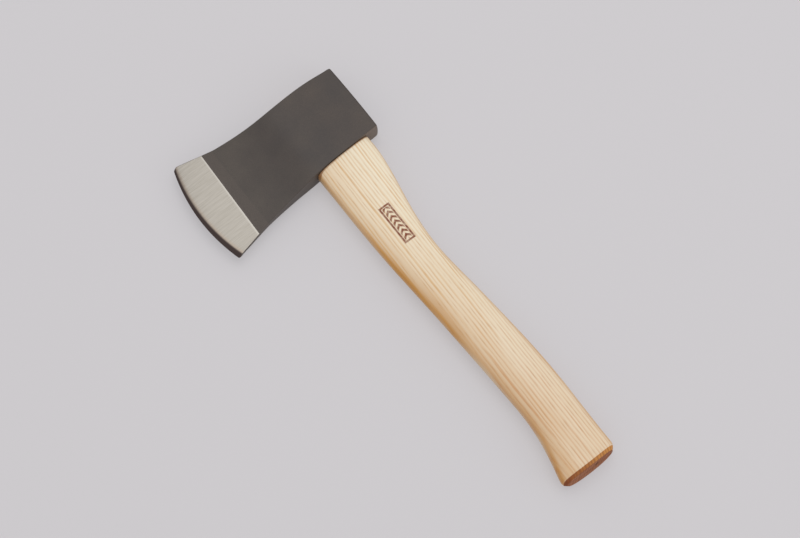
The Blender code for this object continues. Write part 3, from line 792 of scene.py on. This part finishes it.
saw_mark = node(tree, "MapRange", {"Value": saw_marks.outputs["Fac"], "From Min": 0.42, "From Max": 0.62,
                                   "To Max": 0.55})
end_tone = node(tree, "MixRGB", {"Fac": saw_mark.outputs["Result"], "Color1": end_tone.outputs["Color"],
                                 "Color2": srgb("#7a4a34")})
# The top of the tongue stays paler than the butt, because no hand oil reaches it
at_top = node(tree, "MapRange", {"Value": at.outputs["Y"], "From Min": -60 * MM, "From Max": -40 * MM,
                                 "To Max": 0.75})
end_tone = node(tree, "MixRGB", {"Fac": at_top.outputs["Result"], "Color1": end_tone.outputs["Color"],
                                 "Color2": srgb("#cda67a")})
sawn = node(tree, "MixRGB", {"Fac": flat_end.outputs["Result"], "Color1": edge_tone.outputs["Color"],
                             "Color2": end_tone.outputs["Color"]})
ring_tone = node(tree, "Math", {0: early, 1: 0.4}, operation="MULTIPLY")
sawn = node(tree, "MixRGB", {"Fac": ring_tone.outputs["Value"], "Color1": sawn.outputs["Color"],
                             "Color2": srgb("#6f4631")})
holes = node(tree, "TexVoronoi", {"Vector": place_at, "Scale": 1400.0})
hole = node(tree, "MapRange", {"Value": holes.outputs["Distance"], "From Min": 0.28, "From Max": 0.15,
                               "To Max": 0.5})
hole = node(tree, "Math", {0: hole.outputs["Result"], 1: early}, operation="MULTIPLY")
sawn = node(tree, "MixRGB", {"Fac": hole.outputs["Value"], "Color1": sawn.outputs["Color"],
                             "Color2": srgb("#4c2f22")})
# A pin knot shows in the butt
knot_place = (5.1 * MM, -329.75 * MM, 13 * MM)
from_knot = node(tree, "VectorMath", {0: place_at, 1: knot_place}, operation="DISTANCE")
knot = node(tree, "MapRange", {"Value": from_knot.outputs["Value"], "From Min": 2.8 * MM,
                               "From Max": 1.2 * MM, "To Max": 0.7}, interpolation_type="SMOOTHSTEP")
sawn = node(tree, "MixRGB", {"Fac": knot.outputs["Result"], "Color1": sawn.outputs["Color"],
                             "Color2": srgb("#3a2219")})
tree.links.new(sawn.outputs["Color"], shader.inputs["Base Color"])
shader.inputs["Roughness"].default_value = 0.75
shader.inputs["Specular IOR Level"].default_value = 0.08
sawn_relief = node(tree, "Bump", {"Strength": 0.35, "Distance": 0.0001, "Height": saw_marks.outputs["Fac"]})
tree.links.new(sawn_relief.outputs["Normal"], shader.inputs["Normal"])

handle.data.materials[0] = ash
handle.data.materials[1] = end_grain
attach(handle, "root")
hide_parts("handle")

# ---------------------------------------------------------------------------------------------------
# Wooden wedge
# A sawn beech wedge, glued and driven into the kerf from above, then sawn off level with the tongue. The
# steel wedges split it where they cross it.
# ---------------------------------------------------------------------------------------------------

wedge_low, wedge_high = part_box("wooden_wedge")
wooden_wedge = wedge_block("beech_wedge", wedge_low, wedge_high, WEDGE_TIP)
for name in steel_wedges:
    cut_away(wooden_wedge, steel_slot(name))
arris = wooden_wedge.modifiers.new("Broken arris", "BEVEL")
arris.width = 0.15 * MM
arris.segments = 2
arris.limit_method = "ANGLE"
apply_modifiers(wooden_wedge)
bpy.ops.object.shade_smooth_by_angle(angle=SMOOTH_ANGLE)

# Sawn beech: even pinkish tan with short darker flecks along the grain, 1 mm long and 0.2 mm wide
beech, tree, shader = new_material("sawn_beech")
place_at = node(tree, "TexCoord").outputs["Object"]
strands = node(tree, "Mapping", {"Vector": place_at, "Scale": (900.0, 120.0, 900.0)})
fibre = node(tree, "TexNoise", {"Vector": strands.outputs["Vector"], "Scale": 1.0, "Detail": 3.0})
tan = node(tree, "MixRGB", {"Fac": fibre.outputs["Fac"], "Color1": srgb("#a9764e"),
                            "Color2": srgb("#cda077")})
cells = node(tree, "Mapping", {"Vector": place_at, "Scale": (2400.0, 500.0, 2400.0)})
rays = node(tree, "TexNoise", {"Vector": cells.outputs["Vector"], "Scale": 1.0, "Detail": 1.0})
fleck = node(tree, "MapRange", {"Value": rays.outputs["Fac"], "From Min": 0.58, "From Max": 0.7,
                                "To Max": 0.6})
tan = node(tree, "MixRGB", {"Fac": fleck.outputs["Result"], "Color1": tan.outputs["Color"],
                            "Color2": srgb("#7d4f31")})
tree.links.new(tan.outputs["Color"], shader.inputs["Base Color"])
shader.inputs["Roughness"].default_value = 0.72
fuzz = node(tree, "Bump", {"Strength": 0.4, "Distance": 0.0001, "Height": fibre.outputs["Fac"]})
tree.links.new(fuzz.outputs["Normal"], shader.inputs["Normal"])
wooden_wedge.data.materials.clear()
wooden_wedge.data.materials.append(beech)
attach(wooden_wedge, "root")
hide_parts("wooden_wedge")

# ---------------------------------------------------------------------------------------------------
# Steel wedges
# Two short wedges sheared from rolled mild steel, driven across the wooden one. The hammer has
# flattened and slightly spread their tops.
# ---------------------------------------------------------------------------------------------------

# Rolled mild steel: dull blue-grey scale with brown bloom, and bright dents where the hammer fell
rolled, tree, shader = new_material("rolled_mild_steel")
shader.inputs["Metallic"].default_value = 1.0
place_at = node(tree, "TexCoord").outputs["Object"]
scale = node(tree, "TexNoise", {"Vector": place_at, "Scale": 260.0, "Detail": 4.0})
skin_tone = node(tree, "MixRGB", {"Fac": scale.outputs["Fac"], "Color1": srgb("#6f6c68"),
                                  "Color2": srgb("#a5a19b")})
bloom = node(tree, "TexNoise", {"Vector": place_at, "Scale": 520.0, "Detail": 3.0})
rust = node(tree, "MapRange", {"Value": bloom.outputs["Fac"], "From Min": 0.55, "From Max": 0.72,
                               "To Max": 0.6})
skin_tone = node(tree, "MixRGB", {"Fac": rust.outputs["Result"], "Color1": skin_tone.outputs["Color"],
                                  "Color2": srgb("#7a5138")})
tree.links.new(skin_tone.outputs["Color"], shader.inputs["Base Color"])
dull = node(tree, "MapRange", {"Value": bloom.outputs["Fac"], "To Min": 0.35, "To Max": 0.7})
tree.links.new(dull.outputs["Result"], shader.inputs["Roughness"])
dents = node(tree, "Bump", {"Strength": 0.5, "Distance": 0.00015, "Height": scale.outputs["Fac"]})
tree.links.new(dents.outputs["Normal"], shader.inputs["Normal"])

for name in steel_wedges:
    wedge_low, wedge_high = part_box(name)
    steel_wedge = wedge_block(name.replace("steel", "mild_steel"), wedge_low, wedge_high, STEEL_TIP)
    edit(steel_wedge)
    pick(steel_wedge, lambda point: point.co.y > (wedge_low.y + wedge_high.y) / 2)
    bpy.ops.mesh.inset(thickness=0.45 * MM, depth=0)
    bpy.ops.object.mode_set(mode="OBJECT")
    arris = steel_wedge.modifiers.new("Hammered arris", "BEVEL")
    arris.width = 0.25 * MM
    arris.segments = 3
    arris.limit_method = "ANGLE"
    apply_modifiers(steel_wedge)
    bpy.ops.object.shade_smooth_by_angle(angle=SMOOTH_ANGLE)
    steel_wedge.data.materials.append(rolled)
    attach(steel_wedge, "root")
    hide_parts(name)

# ---------------------------------------------------------------------------------------------------
# Table, light and camera
# A plain pale table under soft light that comes mostly from the poll side. The camera looks down on it
# from the butt and the cutting edge, 16 degrees off the vertical.
# ---------------------------------------------------------------------------------------------------

bpy.ops.object.select_all(action="DESELECT")
bpy.ops.mesh.primitive_plane_add(size=6, location=(0, 0, head_low.z))
table = bpy.context.object
table.name = "pale_table"
# Matt paint, which gives off a little light of its own, so the shadows on it stay faint
paint, tree, shader = new_material("pale_matt_paint")
shader.inputs["Base Color"].default_value = srgb("#878586")
shader.inputs["Roughness"].default_value = 0.8
shader.inputs["Emission Color"].default_value = srgb("#f6f3f6")
shader.inputs["Emission Strength"].default_value = 0.385
table.data.materials.append(paint)

world = bpy.data.worlds.new("studio")
bpy.context.scene.world = world
world.use_nodes = True
world.node_tree.nodes["Background"].inputs["Color"].default_value = srgb("#f4f3f6")
world.node_tree.nodes["Background"].inputs["Strength"].default_value = 0.8


def softbox(name, place, aim, size, power):
    """A round area light that faces a point."""
    light = bpy.data.lights.new(name, "AREA")
    light.shape = "DISK"
    light.size = size
    light.energy = power
    lamp = bpy.data.objects.new(name, light)
    lamp.location = place
    lamp.rotation_euler = (Vector(aim) - Vector(place)).to_track_quat("-Z", "Y").to_euler()
    bpy.context.collection.objects.link(lamp)


middle_of_view = Vector((-17.64 * MM, -126.93 * MM, 12.5 * MM))
softbox("key_softbox", (0.45, 0.25, 2.2), middle_of_view, 1.8, 15)
softbox("low_softbox", (0.9, -1.7, 0.8), middle_of_view, 1.2, 4)

camera_data = bpy.data.cameras.new("camera")
camera_data.lens = 90.86
camera_data.sensor_width = 36
camera = bpy.data.objects.new("camera", camera_data)
tilt = math.radians(16)
heading = math.radians(-37.77)
distance = 1.5
back = Vector((math.sin(heading) * math.sin(tilt), -math.cos(heading) * math.sin(tilt), math.cos(tilt)))
camera.location = middle_of_view + distance * back
camera.rotation_euler = (tilt, 0, heading)
bpy.context.collection.objects.link(camera)
bpy.context.scene.camera = camera
bpy.context.scene.view_settings.view_transform = "Standard"
